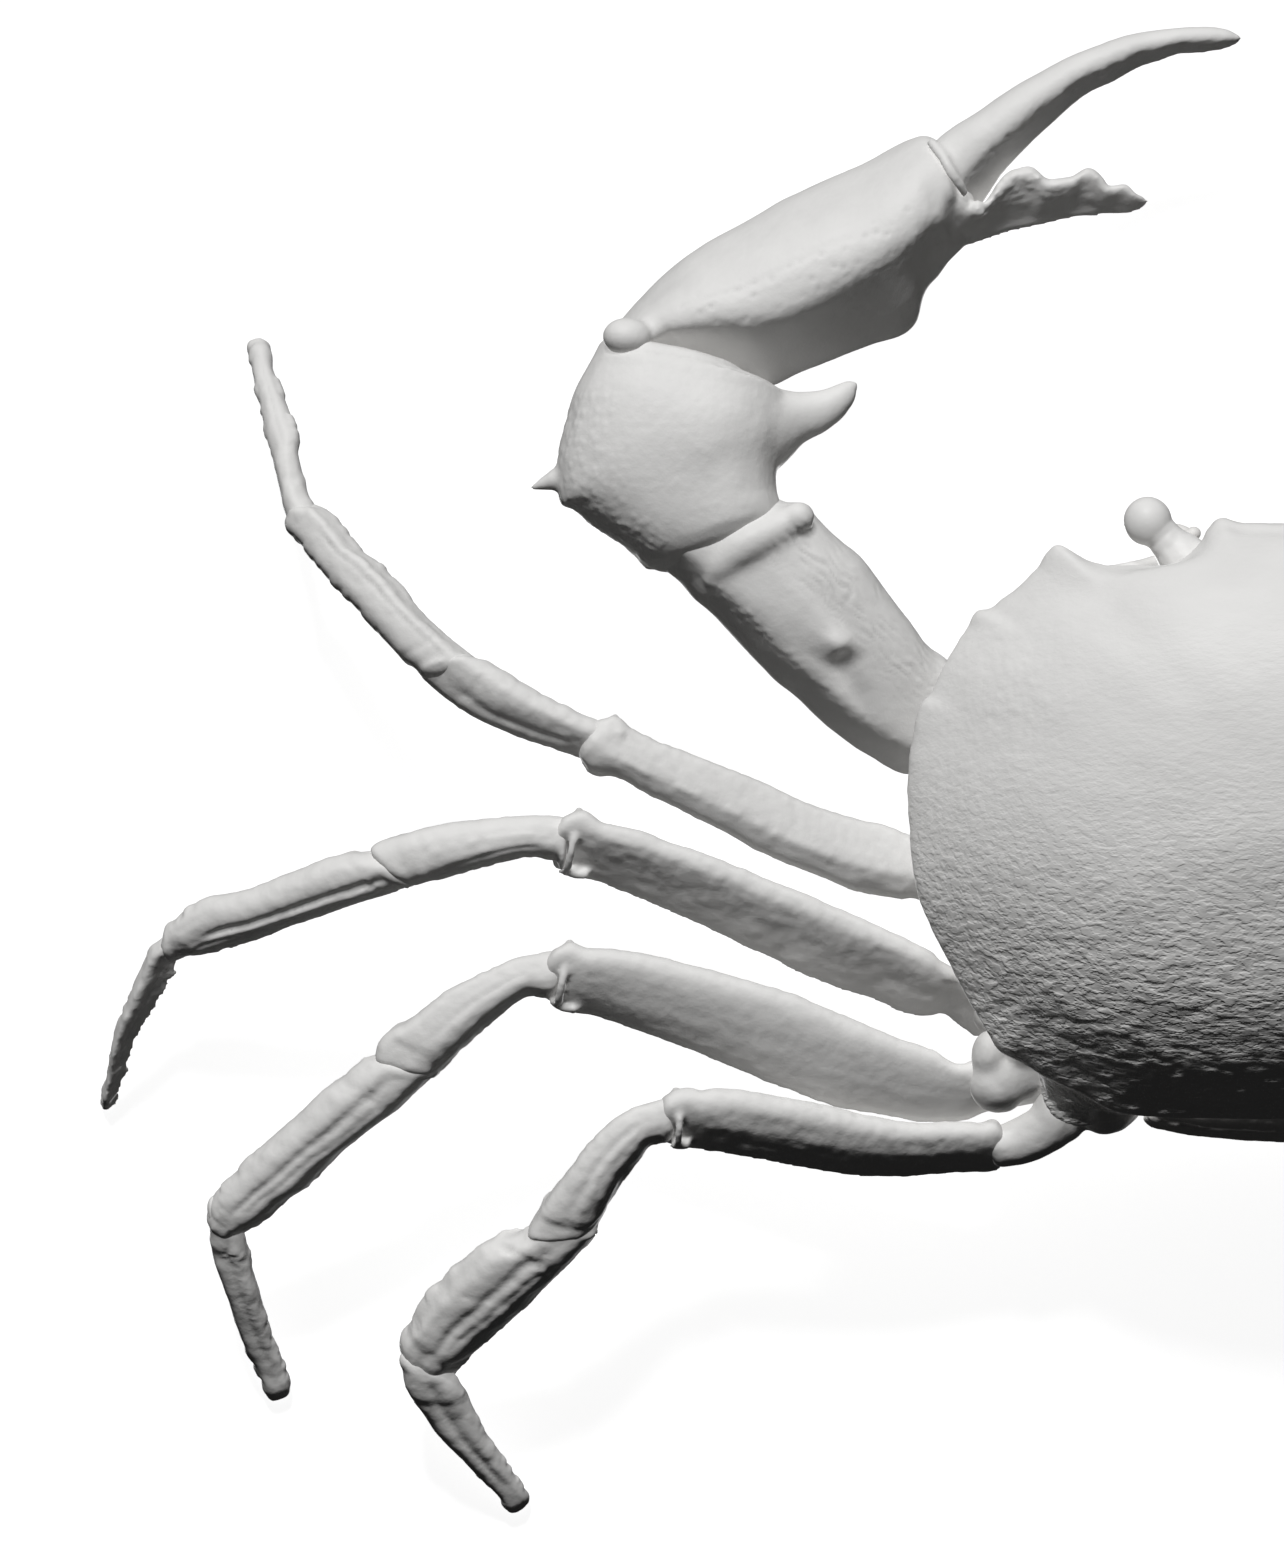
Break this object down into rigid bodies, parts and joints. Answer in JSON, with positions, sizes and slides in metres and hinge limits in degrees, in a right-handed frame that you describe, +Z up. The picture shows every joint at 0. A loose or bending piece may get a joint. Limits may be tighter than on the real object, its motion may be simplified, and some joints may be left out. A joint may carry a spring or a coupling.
{
  "type": "carcinoplax suruguensis crab",
  "caption": "Still life-size crab standing on its leg tips, claws bent in front, with a smooth domed shell, stalked eyes and toothed fingers.",
  "frame": {"origin": "on the floor, below the middle of the whole crab's box", "axes": "+Y forward, the way the eyes look; +X towards the crab's right side; +Z up"},
  "size_m": [0.0906, 0.0559, 0.0166],
  "materials": {
    "carapace_shell": "pale grey-white calcified shell, satin, with fine pits and short low wrinkles",
    "claw_shell": "pale grey-white calcified shell, satin, smoother towards the finger tips",
    "leg_shell": "pale grey-white calcified shell, satin, with long shallow grooves",
    "underside_shell": "smooth pale shell plates",
    "eye": "pale glossy cornea on a satin stalk"
  },
  "bodies": {
    "root": {"carapace": "carapace_shell", "thorax": "underside_shell", "abdomen": "underside_shell", "maxilliped_right": "underside_shell", "eye_right": "eye", "antenna_right": "leg_shell", "claw_right_coxa": "claw_shell", "claw_right_merus": "claw_shell", "claw_right_carpus": "claw_shell", "claw_right_palm": "claw_shell", "claw_right_finger": "claw_shell", "leg_1_right_coxa": "leg_shell", "leg_1_right_merus": "leg_shell", "leg_1_right_carpus": "leg_shell", "leg_1_right_propodus": "leg_shell", "leg_1_right_dactylus": "leg_shell", "leg_2_right_coxa": "leg_shell", "leg_2_right_merus": "leg_shell", "leg_2_right_carpus": "leg_shell", "leg_2_right_propodus": "leg_shell", "leg_2_right_dactylus": "leg_shell", "leg_3_right_coxa": "leg_shell", "leg_3_right_merus": "leg_shell", "leg_3_right_carpus": "leg_shell", "leg_3_right_propodus": "leg_shell", "leg_3_right_dactylus": "leg_shell", "leg_4_right_coxa": "leg_shell", "leg_4_right_merus": "leg_shell", "leg_4_right_carpus": "leg_shell", "leg_4_right_propodus": "leg_shell", "leg_4_right_dactylus": "leg_shell", "maxilliped_left": "underside_shell", "eye_left": "eye", "antenna_left": "leg_shell", "claw_left_coxa": "claw_shell", "claw_left_merus": "claw_shell", "claw_left_carpus": "claw_shell", "claw_left_palm": "claw_shell", "claw_left_finger": "claw_shell", "leg_1_left_coxa": "leg_shell", "leg_1_left_merus": "leg_shell", "leg_1_left_carpus": "leg_shell", "leg_1_left_propodus": "leg_shell", "leg_1_left_dactylus": "leg_shell", "leg_2_left_coxa": "leg_shell", "leg_2_left_merus": "leg_shell", "leg_2_left_carpus": "leg_shell", "leg_2_left_propodus": "leg_shell", "leg_2_left_dactylus": "leg_shell", "leg_3_left_coxa": "leg_shell", "leg_3_left_merus": "leg_shell", "leg_3_left_carpus": "leg_shell", "leg_3_left_propodus": "leg_shell", "leg_3_left_dactylus": "leg_shell", "leg_4_left_coxa": "leg_shell", "leg_4_left_merus": "leg_shell", "leg_4_left_carpus": "leg_shell", "leg_4_left_propodus": "leg_shell", "leg_4_left_dactylus": "leg_shell"}
  },
  "joints": []
}
